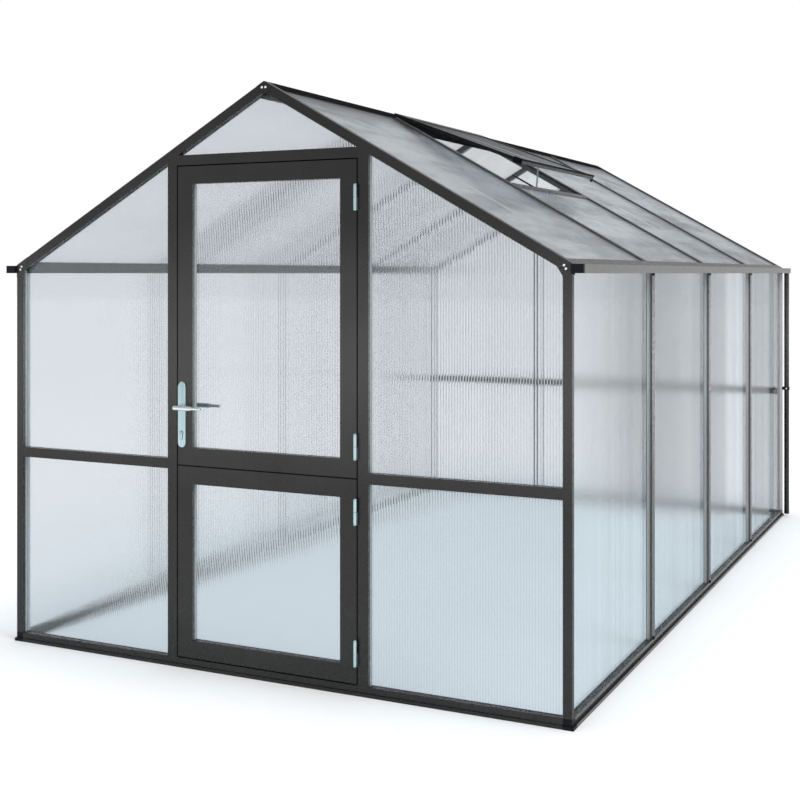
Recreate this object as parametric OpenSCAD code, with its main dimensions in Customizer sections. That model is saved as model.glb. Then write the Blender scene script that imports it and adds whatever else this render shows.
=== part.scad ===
// Walk-in greenhouse: metal frame, twin-wall sheets, split door and roof vent.

/* [House] */
// Width over the corner posts
house_w = 2505; // [2000:5:3000]
// Length over the two gables
house_l = 4380; // [3000:10:6000]
// Height of the roof's outer line at the ridge
ridge_h = 2338; // [2000:1:2800]
// Height of the roof's outer line over the posts' outer faces
eave_h = 1623; // [1400:1:2000]
// Number of bays along each side
bays = 4; // [2:1:6]

/* [Frame bars] */
// Wall thickness of the frame's tubes
wall = 2; // [1.5:0.5:3]
// Depth of the gable bars from front to back
frame_d = 32; // [28:1:40]
// Face width of the corner posts
post_w = 34; // [28:1:50]
// Face width of the door jambs and of the back gable's inner posts
jamb_w = 45; // [34:1:60]
// Distance from the house's middle to a jamb's inner face
jamb_x = 412.5; // [380:0.5:460]
// Face height of the rafters
rafter_h = 37; // [30:1:50]
// Height of the middle rails' lower edge
mid_z = 797; // [700:1:900]
// Face height of the middle rails and of the door header
rail_h = 41; // [34:1:60]
// Distance of the door header's lower edge under the rafters at the jambs
header_drop = 11.7; // [5:0.1:60]
// Width of the roof bars
bar_w = 33; // [28:1:40]
// Width of the wall bars
wall_bar_w = 44; // [36:1:52]
// Distance of the grooves under the wall bars' outer faces
cap_t = 4; // [3:0.5:6]
// Width and depth of the wall bars' grooves
groove = 4; // [3:0.5:6]

/* [Sheets] */
// Thickness of the twin-wall sheets
sheet_t = 8; // [4:1:10]
// Depth of the gable sheets behind the frame's front face
sheet_in = 22; // [15:1:24]
// Depth of the wall sheets behind the posts' outer faces
side_in = 22; // [20:1:28]
// Depth of the roof sheets below the roof's outer line
roof_in = 6; // [3:1:10]
// Depth that a sheet goes into a bar's slot
slot = 10; // [6:1:14]

/* [Base] */
// Height of the base profile
base_h = 38; // [32:1:60]
// Height of the base profile's foot
foot_h = 13; // [8:1:20]
// Reach of the foot in front of the gables
foot_end = 5; // [0:1:20]
// Reach of the foot beside the walls
foot_side = 7; // [0:1:20]
// Height of the groove along the walls' bases, over the foot
base_groove = 12; // [8:1:18]
// Height of the black corner pieces
corner_h = 38; // [30:1:50]

/* [Ridge and eaves] */
// Half of the apex plates' width at their shoulders
plate_top = 34; // [25:1:45]
// Half of the apex plates' width at their feet
plate_foot = 22; // [15:1:30]
// Height of the apex plates' sides under the peak
plate_drop = 47; // [40:1:60]
// Half of the ridge beam's width
ridge_half = 40; // [30:1:60]
// Depth of the ridge beam's sides
ridge_side = 39; // [30:1:60]
// Width of the eave beams
eave_w = 44.5; // [38:0.5:52]
// Width of the eave beams' lip outside the roof sheets
eave_lip = 30; // [20:1:36]
// Height of the eave beams' outer faces
eave_side = 35; // [25:1:50]
// Gutter width
gutter_w = 46; // [40:1:60]
// Gutter height
gutter_h = 32; // [25:1:45]
// Reach of the gutters past the back gable
gutter_back = 20; // [10:1:40]
// Length of a gutter end cap
cap_l = 15; // [10:1:25]
// Outer radius of the downpipes
pipe_r = 16; // [12:1:25]
// Height of the downpipe brackets
bracket_z = 835; // [600:5:1000]

/* [Doors] */
// Gap round the door leaves
gap = 5; // [4:0.5:8]
// Face width of the door leaves' upright members
stile_w = 71; // [60:1:90]
// Face height of the door leaves' cross members
cross_h = 70.5; // [60:0.5:90]
// Top edge of the lower leaf
split_z = 811.5; // [750:0.5:900]
// Distance of the top hinge's middle under the upper leaf's top
hinge_top = 144; // [80:1:300]
// Distance of the middle hinges from the leaves' edges at the split
hinge_mid = 119.5; // [70:0.5:200]
// Distance of the lowest hinge's middle over the lower leaf's foot
hinge_foot = 118; // [70:1:200]
// Hinge axis in front of the door's face
hinge_out = 12; // [10:0.5:16]
// Hinge knuckle radius
knuckle_r = 7; // [6:0.5:9]
// Hinge knuckle height
knuckle_h = 103; // [80:1:120]
// Hinge pin radius
pin_r = 3; // [2:0.1:4]
// Running clearance of the pins and the lever
play = 0.05; // [0.01:0.01:0.1]

/* [Handle] */
// Height of the lever's spindle
lever_z = 1050; // [950:5:1150]
// Distance of the spindle from the house's middle
lever_x = 385; // [370:1:390]
// Width of the handle plates
plate_w = 37; // [30:1:45]
// Height of the handle plates
plate_h = 267; // [200:1:300]
// Thickness of the handle plates
plate_t = 8; // [5:1:10]
// Middle height of the handle plates
plate_z = 1020; // [950:1:1100]
// Radius of the lever's neck
grip_r = 8; // [6:0.5:10]
// Radius of the lever's grip beside the neck
grip_r0 = 9.5; // [7:0.5:12]
// Radius of the lever's grip at its tip
grip_r1 = 6.5; // [5:0.5:9]
// Length of the lever's grip
grip_l = 116; // [90:1:140]
// Distance of the grip's axis from the door's face
grip_out = 52; // [45:1:65]
// Height of the key cylinder
key_z = 945; // [900:1:980]
// Radius of the key cylinder
key_r = 8; // [6:0.5:9]

/* [Roof vent] */
// Distance down the slope from the ridge's peak to the vent sill
sill_u = 690; // [500:5:900]
// Width of the vent sill
sill_w = 35; // [25:1:45]
// Length of the leaf down its slope, from its hinge line
vent_l = 669; // [500:1:900]
// Angle that the leaf is raised from the roof, in degrees
vent_open = 8.8; // [0:0.1:25]
// Distance of the leaf's hinge line from the house's middle
vent_hinge_x = 30; // [20:1:38]
// Height of the leaf's top over the roof's outer line at the hinge
vent_lift = 13; // [8:1:20]
// Length of the leaf's top rail down its slope
vent_head = 48; // [40:1:60]
// Thickness of the leaf's frame
vent_t = 16; // [12:1:25]
// Width of the leaf's side rails
vent_rail = 30; // [20:1:40]
// Distance of the rod's foot up the slope from the sill
stay_in = 80; // [40:1:120]
// Length of the arm under the opening
arm_l = 196; // [100:1:300]
// Gap between the leaf and the roof bars
vent_gap = 2; // [1:0.5:6]

/* [Hidden] */
$fn = 64;
half_w = house_w / 2;
front_y = -house_l / 2;
back_y = house_l / 2;
bay = house_l / bays;
rise = (ridge_h - eave_h) / half_w;
pitch = atan(rise);
slope_l = half_w / cos(pitch);
eave_in = half_w - eave_w;
eave_z = eave_h - eave_side;
lip_in = half_w - eave_lip;
roof_t = roof_in + sheet_t;
bar_depth = 34;
base_in = sheet_in + sheet_t + 4;
side_base_in = side_in + sheet_t + 4;
leaf_x = jamb_x - gap;
leaf_in = leaf_x - stile_w;
lower_z = base_h + gap;
upper_z = split_z + gap;
header_z = ridge_h - rise * (jamb_x + jamb_w) - rafter_h / cos(pitch) - header_drop;
upper_top = header_z - gap;
upper_hinge_z = [upper_top - hinge_top, upper_z + hinge_mid];
lower_hinge_z = [split_z - hinge_mid, lower_z + hinge_foot];
vent_y0 = front_y + bay + bar_w / 2 + vent_gap;
vent_y1 = front_y + 2 * bay - bar_w / 2 - vent_gap;
vent_pitch = pitch - vent_open;
vent_drop = vent_t / cos(vent_pitch);
vent_x = vent_hinge_x + vent_l * cos(vent_pitch);
vent_top_x = vent_hinge_x + vent_head * cos(vent_pitch);
pipe_x = half_w + gutter_w / 2 + 3;
stay_y = front_y + 1.5 * bay;
stay_u = sill_u - stay_in;
frame_grey = [0.25, 0.25, 0.25];
black = [0.06, 0.07, 0.09];
sheet_tint = [0.84, 0.88, 0.92, 0.45];
steel = [0.78, 0.83, 0.85];

function roof_z(x) = ridge_h - rise * x;
function leaf_z(x) = roof_z(vent_hinge_x) + vent_lift - (x - vent_hinge_x) * tan(vent_pitch);

// Copies for the two gables and the two walls
module both_ends() {
    children();
    mirror([0, 1, 0]) children();
}

module both_sides() {
    children();
    mirror([1, 0, 0]) children();
}

// Right roof slope: X runs down the slope, Z out of the roof
module on_slope() {
    translate([0, 0, ridge_h]) rotate([0, pitch, 0]) children();
}

// Extrudes a drawing of X and Z along Y
module along_y(y, l) {
    translate([0, y + l, 0]) rotate([90, 0, 0]) linear_extrude(l) children();
}

// Extrudes a drawing of Z and Y along X
module along_x(x, l) {
    translate([x + l, 0, 0]) rotate([0, -90, 0]) linear_extrude(l) children();
}

// Space above the rafters' undersides on the right slope
module above_rafter() {
    on_slope() translate([-slope_l, front_y - 1, -rafter_h])
        cube([3 * slope_l, house_l + 2, ridge_h]);
}

// Section of a gable bar: X across its face, Y into the house, slots for sheets
module bar_section(w, low, high) {
    difference() {
        square([w, frame_d]);
        translate([wall, wall]) square([w - 2 * wall, sheet_in - 2 * wall]);
        translate([low + wall, wall])
            square([w - low - high - 2 * wall, frame_d - 2 * wall]);
        if (low > 0) translate([-1, sheet_in]) square([low + 1, sheet_t]);
        if (high > 0) translate([w - high, sheet_in]) square([high + 1, sheet_t]);
    }
}

module upright(x, z, top, w, low, high) {
    translate([x, front_y, z]) linear_extrude(top - z) bar_section(w, low, high);
}

module crossbar(x0, x1, z, h, low, high) {
    translate([0, front_y, z]) along_x(x0, x1 - x0) bar_section(h, low, high);
}

module sheet(x0, x1, z0, z1) {
    translate([x0, front_y + sheet_in, z0]) cube([x1 - x0, sheet_t, z1 - z0]);
}

// Base: X runs into the house, Y up, with a groove over the foot
module base_section(foot, depth, cut) {
    in = cut > 0 ? groove : 0;
    difference() {
        union() {
            translate([-foot, 0]) square([depth + foot, foot_h]);
            square([depth, base_h]);
        }
        translate([-1, foot_h]) square([in + 1, cut]);
        translate([wall - foot, wall]) square([depth + foot - 2 * wall, foot_h - 2 * wall]);
        translate([in + wall, wall]) square([depth - in - 2 * wall, base_h - 2 * wall]);
        translate([wall, foot_h + cut + wall])
            square([depth - 2 * wall, base_h - foot_h - cut - 2 * wall]);
    }
}

module base_ends() {
    color(frame_grey) both_ends()
        translate([post_w - half_w, front_y, 0]) rotate([90, 0, 90])
            linear_extrude(house_w - 2 * post_w) base_section(foot_end, base_in, 0);
}

module base_sides() {
    color(frame_grey) both_sides()
        translate([half_w, base_in - house_l / 2, 0]) mirror([1, 0, 0])
            translate([0, house_l - 2 * base_in, 0]) rotate([90, 0, 0])
                linear_extrude(house_l - 2 * base_in)
                    base_section(foot_side, side_base_in, base_groove);
}

module base_corner() {
    difference() {
        union() {
            translate([-foot_side, -foot_end - 1, 0])
                cube([post_w + foot_side, base_in + foot_end + 1, foot_h]);
            cube([post_w, base_in, corner_h]);
        }
        translate([3, 3, -1]) cube([post_w - 6, base_in - 6, corner_h - 2]);
    }
}

module base_corners() {
    color(black) both_ends() both_sides()
        translate([half_w, front_y, 0]) mirror([1, 0, 0]) base_corner();
}

// Corner post: X runs in from the wall face, Y in from the gable face
module post_tube() {
    difference() {
        square([post_w, sheet_in]);
        translate([wall, wall]) square([post_w - 2 * wall, sheet_in - 2 * wall]);
    }
}

module post_channels() {
    back = sheet_in + sheet_t;
    web = post_w - slot - 8;
    translate([web, sheet_in]) square([8, sheet_t]);
    translate([web, back]) square([post_w - web, wall]);
    translate([web, frame_d]) square([side_in + sheet_t + wall - web, wall]);
    translate([side_in - wall, frame_d]) square([wall, 14]);
    translate([side_in + sheet_t, frame_d]) square([wall, 14]);
}

module corner_posts() {
    color(frame_grey) both_ends() both_sides() difference() {
        translate([half_w, front_y, 0]) mirror([1, 0, 0]) {
            translate([0, 0, corner_h]) linear_extrude(eave_h + post_w - corner_h) post_tube();
            translate([0, 0, base_h]) linear_extrude(eave_z - base_h) post_channels();
        }
        on_slope() translate([0, front_y - 1, -rafter_h])
            cube([2 * slope_l, frame_d + 1, 4 * rafter_h]);
    }
}

// Wall bar: X runs in from its outer face, Y across it, a groove along each side
module wall_bar_section() {
    half = wall_bar_w / 2;
    body = cap_t + groove;
    slim = half - groove - wall;
    difference() {
        translate([0, -half]) square([side_in, wall_bar_w]);
        translate([wall, -slim]) square([side_in - 2 * wall, 2 * slim]);
        translate([body + wall, wall - half])
            square([side_in - body - 2 * wall, wall_bar_w - 2 * wall]);
        for (y = [-half - 1, half - groove]) translate([cap_t, y]) square([groove, groove + 1]);
    }
    translate([side_in, -2]) square([sheet_t, 4]);
    translate([side_in + sheet_t, -half]) square([wall, wall_bar_w]);
}

module wall_bars() {
    for (i = [1 : bays - 1])
        translate([half_w, front_y + i * bay, base_h]) mirror([1, 0, 0])
            linear_extrude(eave_z - base_h) wall_bar_section();
}

module wall_bars_left() {
    color(frame_grey) mirror([1, 0, 0]) wall_bars();
}

module wall_bars_right() {
    color(frame_grey) wall_bars();
}

// Eave beam's outline, drawn in by a wall's thickness
module eave_section(t) {
    seat = (roof_t + 0.3) / cos(pitch) + 1.2 * t;
    polygon([[eave_in + t, eave_z + t], [half_w - t, eave_z + t],
        [half_w - t, roof_z(half_w - t) - 1.2 * t], [lip_in + t, roof_z(lip_in + t) - 1.2 * t],
        [lip_in + t, roof_z(lip_in + t) - seat], [eave_in + t, roof_z(eave_in + t) - seat]]);
}

module eave_beams() {
    color(frame_grey) both_sides() along_y(front_y + frame_d, house_l - 2 * frame_d) difference() {
        eave_section(0);
        eave_section(wall);
    }
}

module gutters() {
    color(frame_grey) both_sides() difference() {
        along_y(front_y, house_l + gutter_back) difference() {
            translate([half_w, eave_z]) square([gutter_w, gutter_h]);
            translate([half_w + wall, eave_z + wall])
                square([gutter_w - 2 * wall, gutter_h]);
        }
        translate([pipe_x, back_y, eave_z - 1]) cylinder(r = pipe_r - wall, h = 2 + wall);
    }
}

module gutter_caps() {
    color(black) both_sides() {
        translate([half_w, front_y - cap_l, eave_z]) cube([gutter_w, cap_l, gutter_h]);
        translate([half_w, back_y + gutter_back, eave_z]) cube([gutter_w, cap_l, gutter_h]);
    }
}

module ridge_beam() {
    z = roof_z(ridge_half);
    r = ridge_half;
    t = wall;
    color(frame_grey) along_y(front_y + frame_d, house_l - 2 * frame_d) difference() {
        polygon([[-r, z - ridge_side], [r, z - ridge_side], [r, z], [0, ridge_h], [-r, z]]);
        polygon([[t - r, z - ridge_side + t], [r - t, z - ridge_side + t], [r - t, z - t],
            [0, ridge_h - t * 1.3], [t - r, z - t]]);
    }
}

// Rafter with a slot for the gable sheets and a ledge for the roof sheets
module rafter() {
    difference() {
        on_slope() {
            translate([0, front_y, -rafter_h]) along_x(-2 * rafter_h, slope_l + 4 * rafter_h)
                bar_section(rafter_h, slot, 0);
            translate([1.5 * ridge_half, front_y + frame_d, -roof_t - wall])
                cube([slope_l - 3 * ridge_half - eave_w, 10, wall]);
        }
        translate([half_w, front_y - 1, eave_z - ridge_h])
            cube([house_w, 2 * frame_d, 2 * ridge_h]);
        translate([0.5 - house_w, front_y - 1, 0]) cube([house_w, 2 * frame_d, 2 * ridge_h]);
    }
}

module front_rafters() {
    color(frame_grey) both_sides() rafter();
}

module back_rafters() {
    color(frame_grey) mirror([0, 1, 0]) both_sides() rafter();
}

// Thin plates over the frame's corners and over the apex
module joint_plates() {
    t = wall;
    inner = half_w - post_w;
    tail = half_w - 1.8 * post_w;
    under = rafter_h / cos(pitch);
    color(frame_grey) both_ends() {
        both_sides() along_y(front_y - t, t) polygon([[half_w - 0.5, eave_z - 18],
            [half_w - 0.5, roof_z(half_w - 0.5)], [tail, roof_z(tail)],
            [tail + 6, roof_z(tail + 6) - under], [inner, eave_z - 10], [inner, eave_z - 18]]);
        along_y(front_y - t, t) polygon([[0, ridge_h], [plate_top, roof_z(plate_top)],
            [plate_foot, ridge_h - plate_drop], [0, ridge_h - plate_drop - 5],
            [-plate_foot, ridge_h - plate_drop], [-plate_top, roof_z(plate_top)]]);
    }
}

// Roof bar: X across the bar, Y out of the roof
module roof_bar_cap() {
    translate([-bar_w / 2, -roof_in]) square([bar_w, roof_in - 1]);
    translate([-2, -roof_t]) square([4, sheet_t]);
}

module roof_bar_section() {
    roof_bar_cap();
    difference() {
        translate([-bar_w / 2, -bar_depth]) square([bar_w, bar_depth - roof_t]);
        translate([wall - bar_w / 2, wall - bar_depth])
            square([bar_w - 2 * wall, bar_depth - roof_t - 2 * wall]);
    }
}

// Keeps what lies between the ridge beam and a distance from the middle
module up_to(x) {
    intersection() {
        children();
        translate([ridge_half, front_y, eave_z - ridge_h])
            cube([x - ridge_half, house_l, 2 * ridge_h]);
    }
}

// The bars' caps lap over the eave beam, and their boxes stop at it
module roof_bars() {
    for (i = [1 : bays - 1]) {
        up_to(eave_in) on_slope() translate([0, front_y + i * bay, 0]) rotate([90, 0, 90])
            linear_extrude(slope_l + ridge_half) roof_bar_section();
        up_to(lip_in) on_slope() translate([0, front_y + i * bay, 0]) rotate([90, 0, 90])
            linear_extrude(slope_l + ridge_half) roof_bar_cap();
    }
}

module roof_bars_left() {
    color(frame_grey) mirror([1, 0, 0]) roof_bars();
}

module roof_bars_right() {
    color(frame_grey) roof_bars();
}

module door_jambs() {
    color(frame_grey) both_sides() difference() {
        upright(jamb_x, base_h, ridge_h, jamb_w, 0, slot);
        above_rafter();
    }
}

module front_rails() {
    x0 = jamb_x + jamb_w;
    color(frame_grey) {
        both_sides() crossbar(x0, half_w - post_w, mid_z, rail_h, slot, slot);
        difference() {
            crossbar(-jamb_x, jamb_x, header_z, rail_h, 0, slot);
            both_sides() above_rafter();
        }
    }
}

module back_posts() {
    color(frame_grey) mirror([0, 1, 0]) both_sides() difference() {
        upright(jamb_x, base_h, ridge_h, jamb_w, slot, slot);
        above_rafter();
    }
}

module back_rails() {
    x0 = jamb_x + jamb_w;
    color(frame_grey) mirror([0, 1, 0]) {
        both_sides() crossbar(x0, half_w - post_w, mid_z, rail_h, slot, slot);
        crossbar(-jamb_x, jamb_x, mid_z, rail_h, slot, slot);
    }
}

// Space over the gable sheets' top edges on the right slope
module above_sheets() {
    on_slope() translate([-slope_l, front_y - 1, slot - 1 - rafter_h])
        cube([3 * slope_l, house_l + 2, ridge_h]);
}

// The two sheets between a corner post and the next upright
module outer_sheets() {
    x0 = jamb_x + jamb_w - slot + 0.5;
    x1 = half_w - post_w + slot - 0.5;
    sheet(x0, x1, base_h, mid_z + slot - 0.5);
    difference() {
        sheet(x0, x1, mid_z + rail_h - slot + 0.5, ridge_h);
        above_sheets();
    }
}

module front_sheets() {
    color(sheet_tint) {
        both_sides() outer_sheets();
        difference() {
            sheet(-jamb_x, jamb_x, header_z + rail_h - slot, ridge_h);
            both_sides() above_sheets();
        }
    }
}

module back_sheets() {
    x1 = jamb_x + slot - 0.5;
    color(sheet_tint) mirror([0, 1, 0]) {
        both_sides() outer_sheets();
        sheet(-x1, x1, base_h, mid_z + slot - 0.5);
        difference() {
            sheet(-x1, x1, mid_z + rail_h - slot + 0.5, ridge_h);
            both_sides() above_sheets();
        }
    }
}

function bay_start(i) = front_y + (i == 0 ? base_in : i * bay + 2.5);
function bay_end(i) = i == bays - 1 ? back_y - base_in : front_y + (i + 1) * bay - 2.5;

module wall_sheets() {
    for (i = [0 : bays - 1])
        translate([half_w - side_in - sheet_t, bay_start(i), base_h])
            cube([sheet_t, bay_end(i) - bay_start(i), eave_z - base_h]);
}

module left_sheets() {
    color(sheet_tint) mirror([1, 0, 0]) wall_sheets();
}

module right_sheets() {
    color(sheet_tint) wall_sheets();
}

function roof_start(i) = i == 0 ? front_y + frame_d : bay_start(i);
function roof_end(i) = i == bays - 1 ? back_y - frame_d : bay_end(i);

// One roof sheet from a distance down the slope to the eave
module roof_sheet(i, u) {
    up_to(lip_in) on_slope() translate([u, roof_start(i), -roof_t])
        cube([slope_l, roof_end(i) - roof_start(i), sheet_t]);
}

module left_roof_sheets() {
    color(sheet_tint) mirror([1, 0, 0]) for (i = [0 : bays - 1]) roof_sheet(i, 0);
}

module right_roof_sheets() {
    color(sheet_tint) for (i = [0 : bays - 1])
        roof_sheet(i, i == 1 ? sill_u + sill_w - slot + 0.5 : 0);
}

// Bar along the opening's lower edge
module vent_sill() {
    y0 = front_y + bay + bar_w / 2;
    low = sill_w - slot;
    color(frame_grey) on_slope() translate([sill_u, 0, 0]) along_y(y0, bay - bar_w)
        difference() {
            translate([0, -bar_depth]) square([sill_w, bar_depth - 1]);
            translate([low, -roof_t]) square([slot + 1, sheet_t]);
            translate([wall, wall - bar_depth])
                square([sill_w - 2 * wall, bar_depth - roof_t - 2 * wall]);
        }
}

// The open leaf: X runs down the leaf, Z out of it, from its free edge
module on_leaf() {
    translate([vent_x, 0, leaf_z(vent_x)]) rotate([0, vent_pitch, 0]) children();
}

leaf_start = vent_head - vent_l;

module vent_stiles() {
    l = -leaf_start - vent_rail;
    color(frame_grey) on_leaf() for (y = [vent_y0, vent_y1 - vent_rail])
        difference() {
            translate([leaf_start, y, -vent_t]) cube([l, vent_rail, vent_t]);
            translate([leaf_start - 1, y + wall, wall - vent_t])
                cube([l + 2, vent_rail - 2 * wall, vent_t - 2 * wall]);
        }
}

module vent_rails() {
    l = vent_y1 - vent_y0;
    r = ridge_half;
    s = 0.3;
    under = vent_top_x - vent_t * sin(vent_pitch);
    color(frame_grey) {
        on_leaf() difference() {
            translate([-vent_rail, vent_y0, -vent_t - 4]) cube([vent_rail, l, vent_t + 4]);
            translate([wall - vent_rail, vent_y0 + wall, wall - vent_t - 4])
                cube([vent_rail - 2 * wall, l + 1, vent_t + 4 - 2 * wall]);
        }
        along_y(vent_y0, l) polygon([[r / 2, roof_z(r / 2) + s], [r / 2, leaf_z(r / 2)],
            [vent_top_x, leaf_z(vent_top_x)], [under, leaf_z(under) - vent_drop],
            [r + wall, leaf_z(r + wall) - vent_drop], [r, roof_z(r) + s]]);
    }
}

module vent_sheet() {
    s = 0.3;
    color(sheet_tint) on_leaf() translate([leaf_start + s, vent_y0 + vent_rail, -sheet_t - 4])
        cube([-leaf_start - vent_rail - 2 * s, vent_y1 - vent_y0 - 2 * vent_rail, sheet_t]);
}

// Bracket on the sill with an arm that runs up the slope under the opening
module vent_arm() {
    color(frame_grey) on_slope() {
        translate([sill_u - 4, stay_y - 20, -bar_depth]) cube([4, 40, 26]);
        translate([sill_u - 4 - arm_l, stay_y - 4, -bar_depth]) cube([arm_l, 8, 8]);
    }
}

// Rod from the arm up to the leaf's sheet
module vent_stay() {
    color(steel) intersection() {
        translate([stay_u * cos(pitch), stay_y, ridge_h - stay_u * sin(pitch) - 2 * bar_depth])
            rotate([0, 4, 0]) cylinder(r = 4, h = 8 * bar_depth);
        on_slope() translate([0, front_y, 8 - bar_depth]) cube([slope_l, house_l, ridge_h]);
        on_leaf() translate([-vent_l, front_y, -ridge_h - 4 - sheet_t])
            cube([2 * vent_l, house_l, ridge_h]);
    }
}

// Door leaf's side members and cross members between two heights
module leaf_stiles(z, top) {
    translate([0, front_y, z]) {
        translate([leaf_in, 0, 0]) linear_extrude(top - z) bar_section(stile_w, slot, 0);
        translate([-leaf_x, 0, 0]) linear_extrude(top - z) bar_section(stile_w, 0, slot);
    }
}

module leaf_rails(z, top) {
    crossbar(-leaf_in, leaf_in, z, cross_h, 0, slot);
    crossbar(-leaf_in, leaf_in, top - cross_h, cross_h, slot, 0);
}

module leaf_sheet(z, top) {
    x = leaf_in + slot - 0.5;
    rail = cross_h - slot + 0.5;
    sheet(-x, x, z + rail, top - rail);
}

module upper_stiles() {
    color(frame_grey) difference() {
        leaf_stiles(upper_z, upper_top);
        for (z = [lever_z, key_z])
            translate([-lever_x, front_y - 1, z]) rotate([-90, 0, 0])
                cylinder(r = grip_r + 3, h = frame_d + 2);
    }
}

module upper_rails() {
    color(frame_grey) leaf_rails(upper_z, upper_top);
}

module upper_sheet() {
    color(sheet_tint) leaf_sheet(upper_z, upper_top);
}

module lower_stiles() {
    color(frame_grey) leaf_stiles(lower_z, split_z);
}

module lower_rails() {
    color(frame_grey) leaf_rails(lower_z, split_z);
}

module lower_sheet() {
    color(sheet_tint) leaf_sheet(lower_z, split_z);
}

// Frame half of a hinge: lower knuckle, pin and a plate on the jamb
module frame_hinge() {
    h = knuckle_h / 2 - 0.5;
    translate([0, 0, -knuckle_h / 2]) {
        cylinder(r = knuckle_r, h = h);
        translate([2.5, 0, 0]) cube([gap - 2.5, hinge_out + 20, h]);
    }
    translate([0, 0, -1]) cylinder(r = pin_r, h = knuckle_h / 2 - 6);
}

// Leaf half of a hinge: upper knuckle with its bore and a plate on the leaf's edge
module leaf_hinge() {
    h = knuckle_h / 2 - 0.5;
    translate([0, 0, 0.5]) {
        difference() {
            union() {
                cylinder(r = knuckle_r, h = h);
                cube([2, hinge_out + 20, h]);
            }
            translate([0, 0, -1]) cylinder(r = pin_r + play, h = h - 4);
        }
    }
}

module at_hinges(heights) {
    for (z = heights) translate([leaf_x, front_y - hinge_out, z]) children();
}

module frame_hinges() {
    color(steel) {
        at_hinges(upper_hinge_z) frame_hinge();
        at_hinges(lower_hinge_z) frame_hinge();
    }
}

module upper_hinges() {
    color(steel) at_hinges(upper_hinge_z) leaf_hinge();
}

module lower_hinges() {
    color(steel) at_hinges(lower_hinge_z) leaf_hinge();
}

// Plate with round ends, on the door's face and standing out from it
module handle_plate() {
    difference() {
        union() {
            translate([0, 0, plate_z + plate_h / 2 - plate_w / 2]) rotate([90, 0, 0])
                cylinder(r = plate_w / 2, h = plate_t);
            translate([0, 0, plate_z - plate_h / 2 + plate_w / 2]) rotate([90, 0, 0])
                cylinder(r = plate_w / 2, h = plate_t);
            translate([-plate_w / 2, -plate_t, plate_z - plate_h / 2 + plate_w / 2])
                cube([plate_w, plate_t, plate_h - plate_w]);
        }
        translate([0, 1, lever_z]) rotate([90, 0, 0]) cylinder(r = grip_r + play, h = 20);
        translate([0, 1, key_z]) rotate([90, 0, 0]) cylinder(r = key_r + 0.2, h = 20);
    }
}

module handle_plates() {
    color(steel) translate([-lever_x, front_y, 0]) {
        handle_plate();
        translate([0, frame_d, 0]) mirror([0, 1, 0]) handle_plate();
    }
}

module lock_cylinder() {
    color(steel) translate([-lever_x, front_y - plate_t - 3, key_z]) rotate([-90, 0, 0])
        cylinder(r = key_r, h = frame_d + 2 * plate_t + 6);
}

// Spindle through the door with a lever on each side
module door_lever() {
    color(steel) translate([-lever_x, front_y, lever_z]) {
        translate([0, -grip_out, 0]) rotate([-90, 0, 0])
            cylinder(r = grip_r, h = frame_d + 2 * grip_out);
        for (y = [-grip_out, frame_d + grip_out]) translate([0, y, 0]) {
            sphere(r = grip_r0);
            rotate([0, 90, 0]) cylinder(r1 = grip_r0, r2 = grip_r1, h = grip_l);
            translate([grip_l, 0, 0]) sphere(r = grip_r1);
        }
    }
}

module downpipes() {
    color(black) both_sides() translate([pipe_x, back_y, 15]) difference() {
        cylinder(r = pipe_r, h = eave_z - 15);
        translate([0, 0, -1]) cylinder(r = pipe_r - wall, h = eave_z);
    }
}

module pipe_brackets() {
    color(black) both_sides() difference() {
        union() {
            translate([pipe_x, back_y, bracket_z - 10])
                cylinder(r = pipe_r + 3, h = 20);
            translate([half_w, back_y - 20, bracket_z - 10]) cube([20, 18, 20]);
        }
        translate([pipe_x, back_y, 0]) cylinder(r = pipe_r, h = eave_z);
        translate([half_w - post_w, back_y - post_w, 0]) cube([post_w, 2 * post_w, eave_z]);
    }
}

base_ends();
base_sides();
base_corners();
corner_posts();
wall_bars_left();
wall_bars_right();
eave_beams();
gutters();
gutter_caps();
ridge_beam();
front_rafters();
back_rafters();
joint_plates();
roof_bars_left();
roof_bars_right();
door_jambs();
front_rails();
back_posts();
back_rails();
front_sheets();
back_sheets();
left_sheets();
right_sheets();
left_roof_sheets();
right_roof_sheets();
vent_sill();
vent_stiles();
vent_rails();
vent_sheet();
vent_arm();
vent_stay();
upper_stiles();
upper_rails();
upper_sheet();
lower_stiles();
lower_rails();
lower_sheet();
frame_hinges();
upper_hinges();
lower_hinges();
handle_plates();
lock_cylinder();
door_lever();
downpipes();
pipe_brackets();
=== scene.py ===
import math

import bmesh
import bpy
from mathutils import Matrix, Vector


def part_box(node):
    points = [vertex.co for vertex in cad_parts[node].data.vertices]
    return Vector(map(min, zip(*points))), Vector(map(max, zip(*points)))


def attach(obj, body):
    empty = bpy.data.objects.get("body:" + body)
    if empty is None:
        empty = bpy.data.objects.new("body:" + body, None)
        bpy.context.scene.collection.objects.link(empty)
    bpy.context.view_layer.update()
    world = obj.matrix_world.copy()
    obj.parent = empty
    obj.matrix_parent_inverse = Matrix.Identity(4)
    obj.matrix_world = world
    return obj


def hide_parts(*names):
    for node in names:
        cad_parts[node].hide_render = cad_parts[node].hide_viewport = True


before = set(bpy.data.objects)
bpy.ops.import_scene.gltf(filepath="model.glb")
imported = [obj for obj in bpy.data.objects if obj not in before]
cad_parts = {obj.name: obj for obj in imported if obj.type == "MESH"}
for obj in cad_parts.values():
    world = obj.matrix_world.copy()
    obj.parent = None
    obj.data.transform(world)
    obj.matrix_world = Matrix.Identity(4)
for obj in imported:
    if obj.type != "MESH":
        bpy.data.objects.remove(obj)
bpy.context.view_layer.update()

HOUSE, UPPER, LOWER, LEVER = "house", "upper_leaf", "lower_leaf", "lever"


# ---------------------------------------------------------------- places
def span(node):
    """A node's lowest and highest corners at rest."""
    lo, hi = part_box(node)
    return Vector(lo), Vector(hi)


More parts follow.
